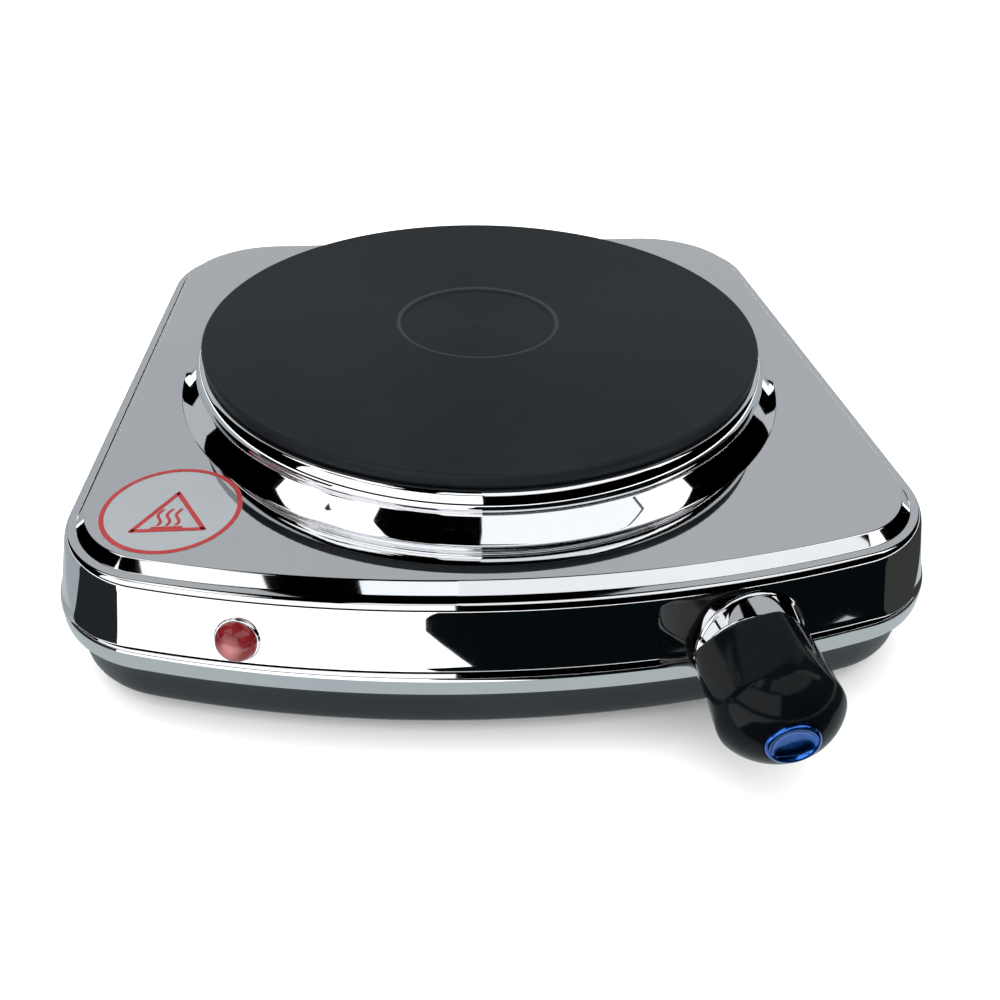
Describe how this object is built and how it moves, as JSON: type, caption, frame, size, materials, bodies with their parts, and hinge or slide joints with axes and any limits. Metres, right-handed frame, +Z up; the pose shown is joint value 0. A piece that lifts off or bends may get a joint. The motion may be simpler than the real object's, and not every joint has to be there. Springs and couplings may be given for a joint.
{
  "type": "hot plate burner",
  "caption": "Single electric hot plate: a round cast iron plate in a chrome spill ring on a pressed steel body, with thermostat knob and pilot lamp.",
  "frame": {"origin": "centre of the footprint at table level; the plate axis stands 12.15 mm behind it, because the knob reaches further forward than the body does at the back", "axes": "+Z up, -Y towards the cook, who faces the knob and the pilot lamp, +X to the right"},
  "size_m": [0.254, 0.2814, 0.066],
  "materials": {
    "cast_iron": "fine turned rings under matt black heat-proof coating",
    "chrome": "bright chrome plate",
    "polished_steel": "pressed stainless steel, polished walls and satin top",
    "pan_black": "semi-gloss black stoved enamel",
    "rubber": "matt moulded rubber",
    "plated_steel": "bright zinc plate",
    "brass": "machined brass and bronze spring",
    "silver_contact": "silver contact rivets",
    "bimetal": "rolled thermostat bimetal",
    "coil_wire": "oxidised resistance wire in a magnesia filling",
    "cement": "dry magnesia cement",
    "ceramic": "unglazed steatite",
    "knob_black": "gloss black thermoset moulding",
    "cap_blue": "metallic blue insert under a clear gloss",
    "lens_red": "transparent red polycarbonate",
    "neon_glass": "clear glass tube",
    "lead_brown": "glass-fibre sleeved lead",
    "lead_red": "glass-fibre sleeved lead",
    "lead_blue": "insulated lead",
    "lead_earth": "green and yellow insulated lead",
    "lead_white": "thin sleeved leads",
    "decal_print": "red print on a clear film",
    "label_foil": "satin aluminium foil label"
  },
  "bodies": {
    "body": {"hotplate": "cast_iron", "plate_stud": "plated_steel", "heating_coils": "coil_wire", "insulating_cement": "cement", "plate_cover": "plated_steel", "plate_terminal_block": "ceramic", "plate_terminal_pins": "plated_steel", "spill_ring": "chrome", "housing": "polished_steel", "base_pan": "pan_black", "corner_straps": "plated_steel", "rubber_feet": "rubber", "base_screws": "plated_steel", "bridge_bracket": "plated_steel", "heat_reflector": "plated_steel", "stud_washer": "plated_steel", "stud_nut": "plated_steel", "thermostat_bush": "brass", "thermostat_frame": "plated_steel", "thermostat_screws": "plated_steel", "thermostat_rivet": "plated_steel", "ceramic_spacers": "ceramic", "adjusting_blade": "brass", "contact_blade": "brass", "contact_points": "silver_contact", "bimetal_strip": "bimetal", "lamp_lens": "lens_red", "lamp_bezel": "chrome", "lamp_clip": "plated_steel", "neon_lamp": "neon_glass", "lamp_leads": "lead_white", "terminal_block": "ceramic", "terminal_clamps": "brass", "terminal_block_screws": "plated_steel", "cord_gland": "rubber", "earth_stud": "plated_steel", "earth_nut": "brass", "live_lead": "lead_brown", "switched_lead": "lead_red", "neutral_lead": "lead_blue", "earth_lead": "lead_earth", "caution_decal": "decal_print", "rating_plate": "label_foil"},
    "control": {"knob": "knob_black", "knob_cap": "cap_blue", "knob_clip": "plated_steel", "thermostat_spindle": "brass"}
  },
  "joints": [
    {"name": "knob_turn", "type": "hinge", "parent": "body", "child": "control", "pos_m": [0.063, -0.11155, 0.028], "axis": [0, 1, 0], "range_deg": [0, 270]}
  ]
}
